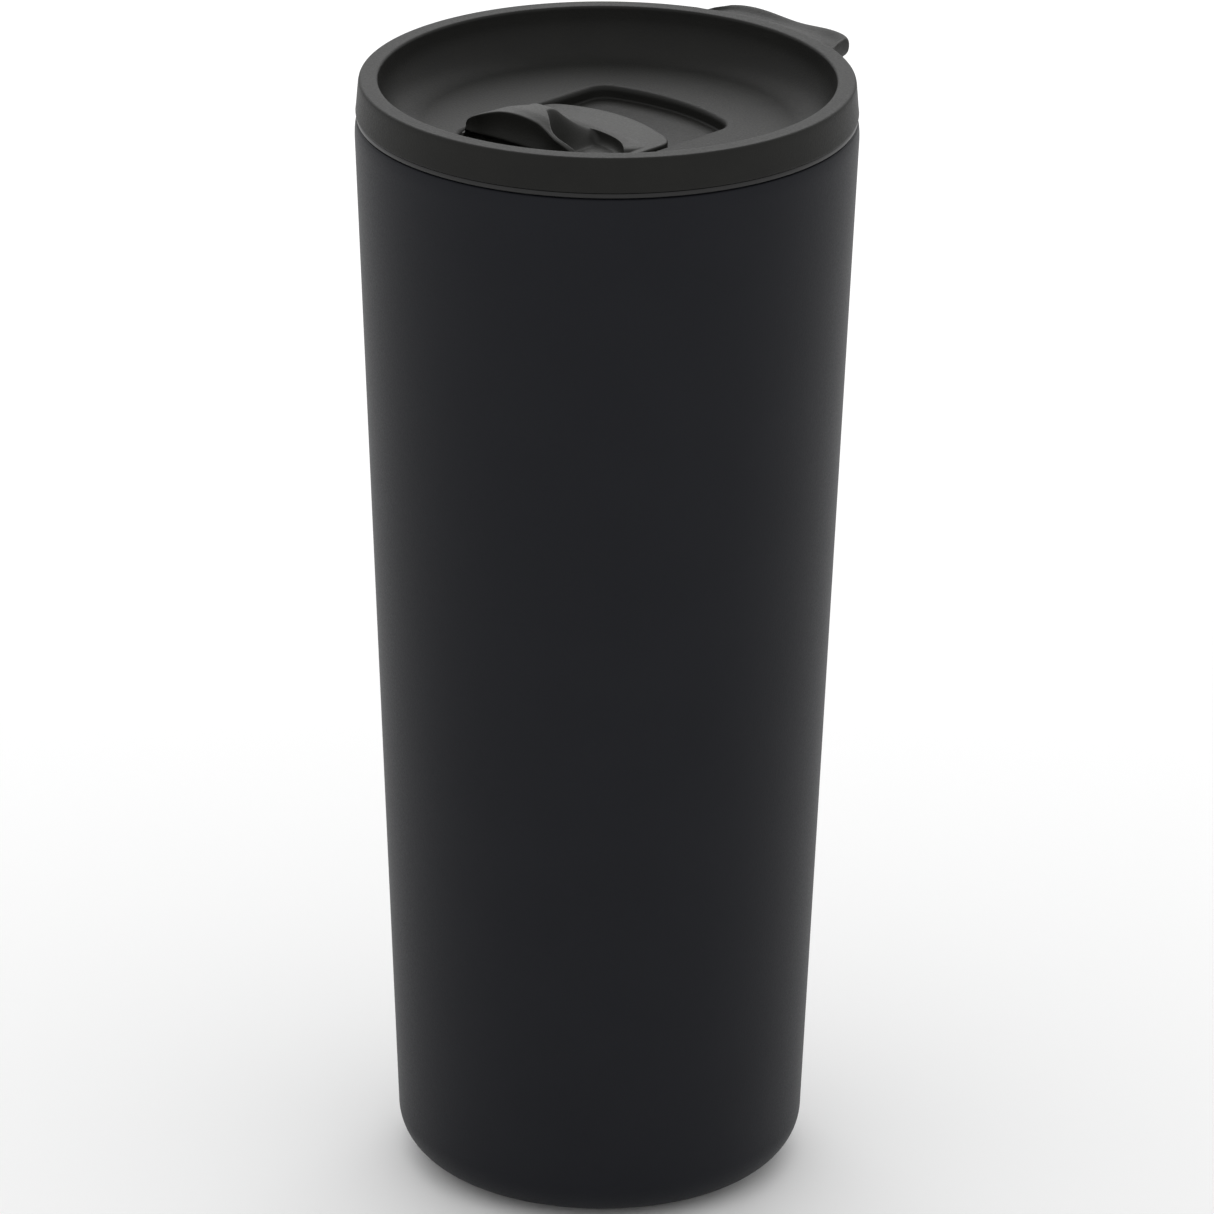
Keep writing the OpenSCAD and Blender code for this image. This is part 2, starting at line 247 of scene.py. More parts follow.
def new_material(name, **values):
    mat = bpy.data.materials.new(name)
    mat.use_nodes = True
    shader = mat.node_tree.nodes["Principled BSDF"]
    for key, value in values.items():
        shader.inputs[key.replace("_", " ")].default_value = value
    return mat, shader


def feed(mat, shader, **sources):
    """Link outputs to the shader's sockets."""
    for key, src in sources.items():
        mat.node_tree.links.new(src, shader.inputs[key.replace("_", " ")])


def powder_coat():
    """Fine black polyester powder, sprayed and baked on the steel shell.
    The melted grains leave a soft satin film with a fine sandy tooth, so
    highlights are broad, a little mottled and never mirror sharp. The grain
    is about 0.3 mm and the orange peel under it about 1.5 mm."""
    mat, sh = new_material("fine black powder coat", Roughness=0.46, IOR=1.5, Specular_IOR_Level=0.11)
    co = node(mat, "ShaderNodeTexCoord").outputs["Object"]
    grain = node(mat, "ShaderNodeTexNoise",
                 {"Scale": 3200.0, "Detail": 2.0, "Roughness": 0.6}, {"Vector": co})
    peel = node(mat, "ShaderNodeTexNoise",
                {"Scale": 650.0, "Detail": 1.0, "Roughness": 0.4}, {"Vector": co})
    cloud = node(mat, "ShaderNodeTexNoise",
                 {"Scale": 60.0, "Detail": 3.0, "Roughness": 0.5}, {"Vector": co})
    tone = node(mat, "ShaderNodeMix", {"data_type": "RGBA", MIX_A: lin("17181c"), MIX_B: lin("1b1c20")},
                {0: cloud.outputs["Fac"]})
    rough = node(mat, "ShaderNodeMapRange",
                 {"From Min": 0.3, "From Max": 0.7, "To Min": 0.42, "To Max": 0.52},
                 {"Value": grain.outputs["Fac"]})
    low = node(mat, "ShaderNodeBump", {"Strength": 0.25, "Distance": 0.00004},
               {"Height": peel.outputs["Fac"]})
    fine = node(mat, "ShaderNodeBump", {"Strength": 0.5, "Distance": 0.00003},
                {"Height": grain.outputs["Fac"], "Normal": low.outputs["Normal"]})
    feed(mat, sh, Base_Color=tone.outputs[MIX_OUT], Roughness=rough.outputs["Result"],
         Normal=fine.outputs["Normal"])
    return mat


def moulded(name, dark, light, rough, tooth, spec):
    """Black polypropylene, injection moulded in a spark-eroded tool. The tool
    leaves an even grain, here of about 0.4 mm, that greys the highlights."""
    mat, sh = new_material(name, Roughness=rough, IOR=1.49, Specular_IOR_Level=spec)
    co = node(mat, "ShaderNodeTexCoord").outputs["Object"]
    grain = node(mat, "ShaderNodeTexNoise",
                 {"Scale": 2600.0, "Detail": 2.0, "Roughness": 0.65}, {"Vector": co})
    cloud = node(mat, "ShaderNodeTexNoise",
                 {"Scale": 120.0, "Detail": 2.0, "Roughness": 0.5}, {"Vector": co})
    tone = node(mat, "ShaderNodeMix", {"data_type": "RGBA", MIX_A: lin(dark), MIX_B: lin(light)},
                {0: cloud.outputs["Fac"]})
    vary = node(mat, "ShaderNodeMapRange",
                {"From Min": 0.3, "From Max": 0.7, "To Min": rough - 0.04, "To Max": rough + 0.06},
                {"Value": grain.outputs["Fac"]})
    bump = node(mat, "ShaderNodeBump", {"Strength": tooth, "Distance": 0.00004},
                {"Height": grain.outputs["Fac"]})
    feed(mat, sh, Base_Color=tone.outputs[MIX_OUT], Roughness=vary.outputs["Result"],
         Normal=bump.outputs["Normal"])
    return mat


def silicone(name, dark, rough):
    """Cured silicone from a polished tool: soft, slightly greasy sheen, with a
    trace of dust that mottles its colour."""
    mat, sh = new_material(name, Roughness=rough, IOR=1.43)
    co = node(mat, "ShaderNodeTexCoord").outputs["Object"]
    bloom = node(mat, "ShaderNodeTexNoise",
                 {"Scale": 420.0, "Detail": 3.0, "Roughness": 0.6}, {"Vector": co})
    tone = node(mat, "ShaderNodeMix", {"data_type": "RGBA", MIX_A: lin(dark), MIX_B: lin("161616")},
                {0: bloom.outputs["Fac"]})
    bump = node(mat, "ShaderNodeBump", {"Strength": 0.3, "Distance": 0.00003},
                {"Height": bloom.outputs["Fac"]})
    feed(mat, sh, Base_Color=tone.outputs[MIX_OUT], Normal=bump.outputs["Normal"])
    return mat


def drawn_steel(name, colour, rough, way):
    """Stainless steel 304, deep drawn and turned on a lathe: fine lines run
    round the axis, so highlights smear across them."""
    mat, sh = new_material(name, Metallic=1.0, Roughness=rough, Base_Color=lin(colour))
    co = node(mat, "ShaderNodeTexCoord").outputs["Object"]
    if way == "rings":
        flat = node(mat, "ShaderNodeVectorMath", {"operation": "MULTIPLY", 1: (1, 1, 0)}, {0: co})
        reach = node(mat, "ShaderNodeVectorMath", {"operation": "LENGTH"}, {0: flat.outputs[0]})
        along = reach.outputs["Value"]
    else:
        along = node(mat, "ShaderNodeSeparateXYZ", {}, {"Vector": co}).outputs["Z"]
    lines = node(mat, "ShaderNodeTexNoise",
                 {"noise_dimensions": "1D", "Scale": 4200.0, "Detail": 3.0, "Roughness": 0.7}, {"W": along})
    wide = node(mat, "ShaderNodeTexNoise",
                {"Scale": 90.0, "Detail": 3.0, "Roughness": 0.5}, {"Vector": co})
    both = node(mat, "ShaderNodeMath", {"operation": "MULTIPLY"},
                {0: lines.outputs["Fac"], 1: wide.outputs["Fac"]})
    vary = node(mat, "ShaderNodeMapRange",
                {"From Min": 0.1, "From Max": 0.45, "To Min": rough - 0.06, "To Max": rough + 0.10},
                {"Value": both.outputs[0]})
    bump = node(mat, "ShaderNodeBump", {"Strength": 0.35, "Distance": 0.00002},
                {"Height": lines.outputs["Fac"]})
    feed(mat, sh, Roughness=vary.outputs["Result"], Normal=bump.outputs["Normal"])
    return mat


def simple_grain(name, colour, rough, metallic, scale, depth):
    """Plain finish with a fine irregular surface, for the sealed-in pieces."""
    mat, sh = new_material(name, Roughness=rough, Metallic=metallic, Base_Color=lin(colour))
    co = node(mat, "ShaderNodeTexCoord").outputs["Object"]
    grain = node(mat, "ShaderNodeTexNoise",
                 {"Scale": scale, "Detail": 3.0, "Roughness": 0.6}, {"Vector": co})
    vary = node(mat, "ShaderNodeMapRange",
                {"From Min": 0.3, "From Max": 0.7, "To Min": rough - 0.08, "To Max": rough + 0.08},
                {"Value": grain.outputs["Fac"]})
    bump = node(mat, "ShaderNodeBump", {"Strength": 0.4, "Distance": depth},
                {"Height": grain.outputs["Fac"]})
    feed(mat, sh, Roughness=vary.outputs["Result"], Normal=bump.outputs["Normal"])
    return mat


POWDER = powder_coat()
LID_PP = moulded("spark-textured black polypropylene", "191918", "1f1f1d", 0.48, 0.9, 0.14)
SLIDER_PP = moulded("satin black polypropylene", "20201e", "272725", 0.44, 0.8, 0.20)
SEAL_SI = silicone("black moulded silicone", "0e0e0e", 0.38)
FOOT_SI = silicone("matt black silicone", "141415", 0.55)
LINER_SS = drawn_steel("electropolished drawn stainless", "c9c8c6", 0.24, "up")
BASE_SS = drawn_steel("turned stainless base", "c0bfbd", 0.30, "rings")
FOIL_CU = simple_grain("rolled copper foil", "d08b62", 0.25, 1.0, 500.0, 0.00004)
GETTER_MT = simple_grain("pressed getter powder", "4a4a4d", 0.7, 0.6, 2500.0, 0.00006)
CLIP_SS = simple_grain("pressed steel clip", "b4b4b4", 0.35, 1.0, 1200.0, 0.00002)
BEAD_GL = simple_grain("fused solder glass", "5d625a", 0.25, 0.0, 300.0, 0.00003)


# --------------------------------------------------------------- steel body

def shell_r(z):
    """Radius of the coated cone at height z."""
    return CONE_FOOT_R + (CONE_LIP_R - CONE_FOOT_R) * z / CONE_H


def coated_shell():
    z0 = SHELL_LOW[2]
    bend = FOOT_BEND
    lean = degrees(atan2(CONE_LIP_R - CONE_FOOT_R, CONE_H))
    cx = shell_r(bend) - bend / cos(radians(lean)) + 0.02
    roll = 0.6
    outer = [(BASE_HOLE_R, z0)] + straight((BASE_HOLE_R, z0), (cx, z0), 3)
    outer += arc(cx, z0 + bend, bend, -90, -lean, 28)
    outer += straight(outer[-1], (shell_r(LIP - 3), LIP - 3), 10)
    outer += [(shell_r(LIP - 3), LIP - 3), (shell_r(LIP - 2) - 0.05, LIP - 2)]
    outer += [(shell_r(LIP - 1.2) - 0.14, LIP - 1.2)]
    outer += arc(shell_r(LIP) - 0.3 - roll, LIP - roll, roll, 12, 90, 8)
    weld_r = MOUTH_R + LINER_WALL
    inner = [(weld_r, LIP), (weld_r, LIP - SHELL_WALL), (shell_r(LIP) - 1.3, LIP - SHELL_WALL)]
    inner += [(shell_r(LIP - 3) - SHELL_WALL, LIP - 3)]
    inner += straight(inner[-1], (shell_r(12) - SHELL_WALL, 12), 6)
    inner += arc(cx, z0 + bend, bend - SHELL_WALL, -lean, -90, 14) + [(BASE_HOLE_R, z0 + SHELL_WALL)]
    bm = bmesh.new()
    spin_profile(bm, outer + inner + [(BASE_HOLE_R, z0)])
    return finish_piece(bm, "coated_shell", "mug", POWDER, ("outer_shell",))


def steel_liner():
    bend = LINER_BEND
    z_low = LINER_LOW[2] + LINER_WALL
    mid_r = LINER_LOW_R - bend
    wall = [(0.0, z_low)] + straight((0.0, z_low), (mid_r, z_low), 5)
    wall += arc(mid_r, z_low + bend, bend, -90, 0, 16)
    wall += straight(wall[-1], (MOUTH_R, LIP - MOUTH_DEPTH), 8)
    wall += [(MOUTH_R, LIP - 15.3), (MOUTH_R, LIP - 14.4), (MOUTH_R, LIP - 0.35)]
    wall += arc(MOUTH_R + 0.3, LIP - 0.3, 0.3, 180, 90, 5)
    wall += [(MOUTH_R + LINER_WALL, LIP), (MOUTH_R + LINER_WALL, LIP - MOUTH_DEPTH)]
    wall += arc(mid_r, z_low + bend, bend + LINER_WALL, 0, -90, 12) + [(0.0, z_low - LINER_WALL)]
    bm = bmesh.new()
    spin_profile(bm, wall)
    return finish_piece(bm, "steel_liner", "mug", LINER_SS, ("inner_liner",))


def base_disc():
    z1 = BASE_LOW[2]
    bm = bmesh.new()
    prof = [(1.2, z1 + 1.4), (6.6, z1 + 1.4)] + arc(6.8, z1 + 0.9, 0.5, 80, 35, 4)
    prof += arc(9.3, z1 + 0.5, 0.5, 215, 270, 4)
    prof += [(BASE_R, z1), (BASE_R, z1 + 0.8), (9.4, z1 + 0.8), (7.4, z1 + 2.2)]
    prof += [(1.2, z1 + 2.2), (1.2, z1 + 1.4)]
    spin_profile(bm, prof, ((360.0, 144),))
    return finish_piece(bm, "base_disc", "mug", BASE_SS, ("shell_base",))


def cover_disc():
    z0, z1 = COVER_LOW[2], COVER_HIGH[2]
    bm = bmesh.new()
    prof = [(0.0, z0 + 0.12), (5.0, z0 + 0.12), (5.6, z0), (COVER_R - 1.2, z0)]
    prof += arc(COVER_R - 0.3, z0 + 0.3, 0.3, -90, 0, 5) + [(COVER_R, z1), (0.0, z1)]
    spin_profile(bm, prof, ((360.0, 144),))
    return finish_piece(bm, "cover_disc", "mug", BASE_SS, ("base_cover",))


def foot_band():
    z1 = FOOT_HIGH[2]
    rim = FOOT_HIGH[0]
    bm = bmesh.new()
    prof = [(rim - FOOT_W, z1)] + arc(rim - FOOT_W + 0.4, 0.4, 0.4, 180, 270, 5)
    for k in range(3):
        c = rim - 5.3 + k * 1.8
        prof += [(c - 0.35, 0.0), (c - 0.2, 0.22), (c + 0.2, 0.22), (c + 0.35, 0.0)]
    prof += arc(rim - 0.35, 0.35, 0.35, -90, 0, 5)
    prof += [(rim, 0.8), (BASE_HOLE_R, 0.8), (BASE_HOLE_R, z1), (rim - FOOT_W, z1)]
    spin_profile(bm, prof, ((360.0, 180),))
    return finish_piece(bm, "foot_band", "mug", FOOT_SI, ("foot_ring",))


# ----------------------------------------------------------------------- lid

TAB_REACH = LID_HIGH[1] - BAND_R
TAB_IN = 12.0    # degrees from +Y where the tab keeps its full reach
TAB_CORNER = 16.4
TAB_OUT = 23.5   # degrees from +Y where it has run out into the band
TAB_THICK = 3.1
TAB_DIP = 0.85   # thumb dip in the middle of the outer edge


def tab_reach(angle):
    """Share of the tab's full reach at an angle from +Y, in degrees."""
    u = abs(angle)
    if u <= TAB_IN:
        return 1.0
    if u >= TAB_OUT:
        return 0.0
    if u <= TAB_CORNER:
        return 1.0 - 0.16 * ((u - TAB_IN) / (TAB_CORNER - TAB_IN)) ** 2.6
    return 0.84 * (1 - (u - TAB_CORNER) / (TAB_OUT - TAB_CORNER)) ** 1.7


def tab_dip(angle):
    """Drop of the tab's outer edge at an angle from +Y, in degrees."""
    return TAB_DIP * (1 - smooth(abs(angle) / TAB_IN))


def lid_profile():
    """Profile from the bowl floor over the rim and down to the inside of the
    plug. Points on the band come with where they go on the lift tab."""
    pts = []
    tab = []

    def add(points, tabbed=None):
        pts.extend(points)
        tab.extend(tabbed if tabbed else [None] * len(points))

    add([(WALL_R - 7.35, FLOOR), (WALL_R - 7.2, FLOOR)])
    add(arc(WALL_R - 7, FLOOR + 7, 7, -90, -4, 22))
    add([(WALL_R + 0.12, TOP - 0.62)])
    add(arc(WALL_R + 0.62, TOP - 0.5, 0.5, 174, 96, 7))
    add([(WALL_R + 0.9, TOP)])
    add(straight((WALL_R + 0.9, TOP), (RIM_R - 0.62, TOP), 4))
    n_top, n_edge, n_low = 12, 12, 8
    band = [(RIM_R - 0.62, TOP)] + arc(RIM_R - 0.55, TOP - 0.55, 0.55, 88, 4, 9)
    low_z = TOP - 4.9
    rest = n_top + n_edge + n_low - len(band)
    k = (BAND_R - RIM_R) / (TOP - BAND)
    for i in range(1, rest + 1):
        z = (TOP - 0.6) + (low_z - (TOP - 0.6)) * i / rest
        band.append((RIM_R + k * (TOP - z), z))
    out_r = BAND_R + TAB_REACH - 0.02
    zt = TOP - 0.5
    tab_pts = []
    r0 = RIM_R - 0.62
    for i in range(n_top):
        t = i / n_top
        r = r0 + (out_r - 1.3 - r0) * t
        dish = 0.55 * sin(pi * min(1.0, t * 1.02)) ** 1.3
        tab_pts.append((r, TOP + (zt - TOP) * smooth(t * 1.3) - dish))
    edge = arc(out_r - 1.3, zt - 1.3, 1.3, 90, 0, n_edge // 2)
    edge += arc(out_r - 1.5, zt - TAB_THICK + 1.5, 1.5, 0, -90, n_edge // 2)
    tab_pts += edge[:n_edge]
    zb = zt - TAB_THICK
    for i in range(n_low):
        t = (i + 1) / n_low
        r = (out_r - 1.5) + (BAND_R + 0.05 - (out_r - 1.5)) * t
        z = zb - 0.9 * max(0.0, (t - 0.72) / 0.28) ** 2
        tab_pts.append((r, z))
    add(band, tab_pts[:len(band)])
    add([(BAND_R, BAND + 0.3)])
    add(arc(BAND_R - 0.2, BAND + 0.2, 0.2, -10, -90, 4))
    plug_bottom = LID_LOW[2]
    add([(PLUG_R + 0.5, BAND), (PLUG_R, BAND - 0.4)])
    add(straight((PLUG_R, BAND - 0.4), (PLUG_R, plug_bottom + 1.0), 5))
    add(arc(PLUG_R - 0.8, plug_bottom + 0.8, 0.8, 0, -90, 6))
    inside = PLUG_R - PLUG_WALL
    add(arc(inside + 0.6, plug_bottom + 0.6, 0.6, -90, -180, 5))
    add(straight((inside, plug_bottom + 0.6), (inside, FLOOR - 4), 3))
    add(arc(inside - 2, FLOOR - 4, 2, 0, 90, 8))
    add([(inside - 2.3, FLOOR - LID_FLOOR)])
    return pts, tab


def open_edges(bm, z):
    """Edges of holes that lie flat at height z."""
    return [e for e in bm.edges if e.is_boundary and all(abs(v.co.z / MM - z) < 0.01 for v in e.verts)]


def moulded_lid():
    pts, tab = lid_profile()
    bm = bmesh.new()
    start = 90.0 + TAB_OUT
    sweeps = ((360.0 - 2 * TAB_OUT, 212), (TAB_OUT - TAB_IN, 42), (2 * TAB_IN, 30), (TAB_OUT - TAB_IN, 42))
    at = radians(start)
    layer = bm.verts.layers.int.new("profile")
    edges = chain(bm, [(r * cos(at), r * sin(at), z) for r, z in pts])
    first = verts_of(edges)
    for i, v in enumerate(first):
        v[layer] = i + 1
    geom = first + edges
    for angle, steps in sweeps:
        made = bmesh.ops.spin(bm, geom=geom, cent=(0, 0, 0), axis=(0, 0, 1),
                              angle=radians(angle), steps=steps, use_duplicate=False)
        geom = made["geom_last"]
    bmesh.ops.remove_doubles(bm, verts=bm.verts, dist=2e-6)
    for v in bm.verts:
        i = v[layer] - 1
        if i < 0 or tab[i] is None:
            continue
        angle = degrees(atan2(v.co.x, v.co.y))
        share = tab_reach(angle)
        if share <= 0:
            continue
        r0, z0 = pts[i]
        r1, z1 = tab[i]
        lift = smooth(min(1.0, share * 2.2))
        r = r0 + (r1 - r0) * share
        out = max(0.0, min(1.0, (r1 - RIM_R) / TAB_REACH))
        z = z0 + (z1 - z0) * lift - tab_dip(angle) * out ** 1.5
        a = atan2(v.co.y, v.co.x)
        v.co = Vector((r * cos(a), r * sin(a), z)) * MM
    inner_top = open_edges(bm, FLOOR)
    inner_low = open_edges(bm, FLOOR - LID_FLOOR)
    sink_top, sink_low = slider_recess(bm)
    fill(bm, inner_top + sink_top, 1)
    fill(bm, inner_low + sink_low, -1)
    return finish_piece(bm, "moulded_lid", "lid", LID_PP, ("lid_body",))


def slider_recess(bm):
    """Recess, drinking hole and leg slots. Returns the loops that join the
    bowl floor above and the underside below."""
    w, y0, y1, r, rc = RECESS
    edge, foot = 0.9, 0.4

    def ring(g, z):
        return plate_loop(w - g, y0 + g, y1 - g, r - g, max(0.4, rc - g), z)

    loops = [ring(-edge - 0.2, FLOOR)]
    loops += [ring(-edge + edge * sin(radians(a)), FLOOR - edge + edge * cos(radians(a)))
              for a in range(0, 91, 15)]
    loops += [ring(0.0, SINK + foot)]
    loops += [ring(foot - foot * cos(radians(a)), SINK + foot - foot * sin(radians(a)))
              for a in range(18, 91, 18)]
    loops += [ring(0.6, SINK)]
    wall = loft(bm, loops)
    low = SINK - 1.8
    holes_top, holes_low = [], []
    shapes = [(*HOLE, 0.0)]
    for s in (-1, 1):
        slot_end = LEG_Y1 + SLIDE_TRAVEL + LEG_ROOM
        shapes.append((LEG_HALF + LEG_ROOM, LEG_Y0 - LEG_ROOM, slot_end, 0.3, s * LEG_X))
    for hw, ya, yb, hr, cx in shapes:
        e = 0.3 if hr > 1 else 0.15

        def hole(g, z):
            return pill_loop(hw - g, ya + g, yb - g, max(0.1, hr - g), z, cx)

        turns = [hole(-e * 1.3, SINK)]
        turns += [hole(-e + e * sin(radians(a)), SINK - e + e * cos(radians(a))) for a in range(0, 91, 30)]
        turns += [hole(-e + e * sin(radians(a)), low + e - e * cos(radians(a))) for a in range(90, -1, -30)]
        turns += [hole(-e * 1.3, low)]
        rings = loft(bm, turns)
        holes_top += rings[0]
        holes_low += rings[-1]
    fill(bm, wall[-1] + holes_top, 1)
    under_z = FLOOR - LID_FLOOR
    box = [ring(-2.2, under_z), ring(-2.0, under_z), ring(-1.7, under_z - 0.1)]
    box += [ring(-1.6, under_z - 0.4), ring(-1.6, low + 0.6)]
    box += [ring(-1.0 - 0.6 * cos(radians(a)), low + 0.6 - 0.6 * sin(radians(a)))
            for a in range(22, 91, 17)]
    box += [ring(-0.8, low)]
    under = loft(bm, box)
    fill(bm, under[-1] + holes_low, -1)
    return wall[0], under[0]


def lip_seal():
    z0, z1 = SEAL_LOW[2], SEAL_HIGH[2]
    so, fo, fl = PLUG_R + 0.8, MOUTH_R - 0.15, BAND_R - 0.15
    under = z1 - 1.0
    bm = bmesh.new()
    prof = [(PLUG_R, z1), (PLUG_R, z0 + 2), (PLUG_R - 0.8, z0 + 2), (PLUG_R - 0.8, z0)]
    prof += arc(so - 0.5, z0 + 0.5, 0.5, -90, 0, 6)
    for base in (2.4, 7.0):
        prof += [(so, z0 + base), (so + 0.16, z0 + base + 0.9)]
        prof += arc(fo - 0.14, z0 + base + 2.36, 0.14, -30, 95, 6)
        prof += [(so + 0.12, z0 + base + 2.08), (so, z0 + base + 1.9)]
    prof += [(so, under - 0.4)] + arc(so + 0.3, under - 0.3, 0.3, 180, 90, 4)
    prof += [(MOUTH_R + 0.4, under), (fl - 0.4, under)]
    prof += arc(fl - 0.35, under + 0.35, 0.35, -90, 0, 6) + arc(fl - 0.35, z1 - 0.35, 0.35, 0, 90, 6)
    prof += [(PLUG_R, z1)]
    spin_profile(bm, prof, ((360.0, 220),))
    return finish_piece(bm, "lip_seal", "lid", SEAL_SI, ("lid_seal",))


# -------------------------------------------------------------------- slider

W_S, Y0_S, Y1_S, R_S, RC_S = 14.5, -24.0, 3.3, 39.0, 3.5
CROWN = 0.7
PLATE_TOP = FLOOR + 0.1 + CROWN
GRIP_TOP = SLIDE_HIGH[2]
SCOOP_Z = SINK + 1.45
NAIL_Z = SINK + 1.7
SLIDE_BOT = SINK + 0.3
ARCH_R, ARCH_CORNER, ARCH_W = 22.0, 4.0, 13.2
CREST_Y, SPINE_END = -16.2, -3.6
LIP_Y = -21.8
EDGE = 0.35                                # rounding of the plate's upper edge
SCOOP_X, SCOOP_Y, SCOOP_R = 4.9, -17.8, 11.5  # the arc at the scoops' rear


def plate_z(x):
    return PLATE_TOP - CROWN * x * x / (W_S * W_S)


def arch_z(x):
    """Height of the grip's arch at sideways place x."""
    a = abs(x)
    r, rc, w = ARCH_R, ARCH_CORNER, ARCH_W
    h = sqrt((r - rc) ** 2 - (w - rc) ** 2)
    if a < (w - rc) * r / (r - rc):
        return GRIP_TOP - r + sqrt(r * r - a * a)
    side = min(a, w)
    return GRIP_TOP - r + h + sqrt(max(0.0, rc * rc - (side - (w - rc)) ** 2)) - 6.0 * max(0.0, a - w)


def spine_z(x, y):
    """Top of grip and spine: level over the grip, then a hollow sweep that
    ends in the plate."""
    base = plate_z(x)
    arch = max(arch_z(x), base)
    if y < CREST_Y:
        settle = 0.35 * smooth((CREST_Y - 2.5 - y) / 3.0) * smooth((arch - base) / 2.0)
        return arch - settle
    t = min(1.0, (y - CREST_Y) / (SPINE_END - CREST_Y))
    turn = 0.16
    if t < turn:
        fall = 1 - 1.35 * t * t / (2 * turn)
    else:
        knee = 1 - 1.35 * turn / 2
        fall = knee * ((1 - t) / (1 - turn)) ** 1.72
    return base + (arch - base) * fall


def column(x):
    """Path from the rear edge to the front edge of the slider, over the
    plate, the scoop, the grip's crest, its face, the lip and the hollow."""
    a = abs(x)
    plate = plate_z(x)
    rear = end_line(x, W_S - EDGE, Y1_S - EDGE, R_S - EDGE, RC_S - EDGE, 1)
    front = end_line(x, W_S - EDGE, Y0_S + EDGE, R_S - EDGE, RC_S - EDGE, -1)
    crest = max(arch_z(x), plate)
    rise = crest - plate
    full = smooth(rise / 1.6)
    deep = smooth((a - 1.9) / 3.0)
    y_arc = SCOOP_Y + sqrt(max(1.0, SCOOP_R ** 2 - (a - SCOOP_X) ** 2))
    y_arc = min(y_arc, rear - 0.6)
    floor_z = min(SCOOP_Z, plate - 0.3)
    y_lip = LIP_Y + 0.35 * (1 - full)
    y_lip = max(y_lip, front + 0.35)
    z_lip = plate + 0.75 * full
    y_face = y_lip + (0.45 - 0.8 * smooth((a - 4.0) / 5.0) + 0.5 * smooth((a - 10.0) / 3.0)) * full
    y_face = max(y_face, front + 0.4)
    thick = 4.8 - 3.7 * smooth((a - 0.5) / 7.5)
    y_back = min(y_face + thick, y_arc - 4.4)
    y_back = max(y_back, y_face + 0.9)
    run_up = 2.6
    run_down = 1.3
    path = []
    for i in range(36):
        y = rear + (y_arc - rear) * i / 36
        path.append((y, spine_z(x, y)))

    def put(y, z):
        ref = spine_z(x, y)
        path.append((y, ref + (min(z, ref) - ref) * deep))

    edge = spine_z(x, y_arc)
    drop = max(0.05, edge - floor_z)
    path.append((y_arc, edge))
    put(y_arc - 0.05, edge - 0.05 * drop)
    for i in range(1, 13):
        b = radians(90.0 * i / 12)
        put(y_arc - 0.06 - run_down * (1 - cos(b)), edge - drop * (0.05 + 0.95 * sin(b)))
    ya = y_arc - 0.06 - run_down
    yb = max(min(y_back + run_up, ya - 0.3), y_back + 0.2)
    for i in range(1, 10):
        put(ya + (yb - ya) * i / 10, floor_z)
    top_back = spine_z(x, y_back)
    wall = top_back - 0.35 - floor_z
    for i in range(0, 17):
        b = radians(90.0 * i / 16)
        put(yb - (yb - y_back) * sin(b), floor_z + max(0.0, wall) * (1 - cos(b)))
    for i in range(1, 6):
        b = radians(90.0 * i / 5)
        put(y_back - 0.5 * (1 - cos(b)), top_back - 0.35 + 0.35 * sin(b))
    y_edge = y_face + 0.3
    for i in range(1, 10):
        y = (y_back - 0.5) + (y_edge - (y_back - 0.5)) * i / 10
        path.append((y, spine_z(x, y)))
    top = spine_z(x, y_edge)
    ez = min(0.22, 0.22 * rise)
    for i in range(0, 5):
        b = radians(90.0 * i / 4)
        path.append((y_edge - 0.3 * sin(b), top - ez * (1 - cos(b))))
    fy, fz = path[-1]
    low = z_lip + 0.2 * full
    for i in range(1, 17):
        t = i / 17
        hollow = 0.5 * min(full, (fz - low) / 5.0) * sin(pi * t)
        path.append((fy + (y_lip - fy) * t + hollow, fz + (low - fz) * t))
    for i in range(0, 7):
        b = radians(180 + 100 * i / 6)
        path.append((y_lip + 0.2 + 0.2 * cos(b), low + 0.2 * full * sin(b)))
    y_in = y_lip + 0.25 + 1.7 * full
    for i in range(1, 7):
        t = i / 6
        path.append((y_lip + 0.25 + (y_in - y_lip - 0.25) * t, z_lip - 0.05 * t * full))
    z_in = path[-1][1]
    nail = plate + (NAIL_Z - plate) * full
    for i in range(1, 8):
        b = radians(90.0 * i / 7)
        path.append((y_in + 0.25 * full * sin(2 * b), z_in + (nail - z_in) * (1 - cos(b))))
    for i in range(1, 13):
        t = i / 12
        path.append((y_in + (front - y_in) * t, nail))
    return path


def grip_slider():
    rows = len(column(0.0))
    cols = 150
    bm = bmesh.new()
    bmesh.ops.create_grid(bm, x_segments=cols, y_segments=rows - 1, size=1.0)
    paths = {}
    w = W_S - EDGE
    for v in bm.verts:
        i = round((v.co.x + 1) / 2 * cols)
        j = round((v.co.y + 1) / 2 * (rows - 1))
        u = 2.0 * i / cols - 1
        x = w * (0.6 * u + 0.4 * sin(u * pi / 2))
        if i not in paths:
            paths[i] = column(x)
        y, z = paths[i][rows - 1 - j]
        v.co = Vector((x, y, z)) * MM
    geo = [e for e in bm.edges if e.is_boundary]
    done = (0.0, 0.0)
    for out, down in ((0.13, -0.02), (0.25, -0.10), (0.32, -0.21), (EDGE, -EDGE)):
        geo = grow(bm, geo, out - done[0], down - done[1])
        done = (out, down)
    geo = level(bm, geo, SLIDE_BOT + 0.2)
    geo = grow(bm, geo, -0.06, -0.14)
    geo = grow(bm, geo, -0.14, -0.06)
    bmesh.ops.triangle_fill(bm, use_beauty=True, use_dissolve=False, edges=geo, normal=(0, 0, -1))
    for s in (-1, 1):
        snap_leg(bm, s)
    return finish_piece(bm, "grip_slider", "slider", SLIDER_PP, ("slider",), 42.0)


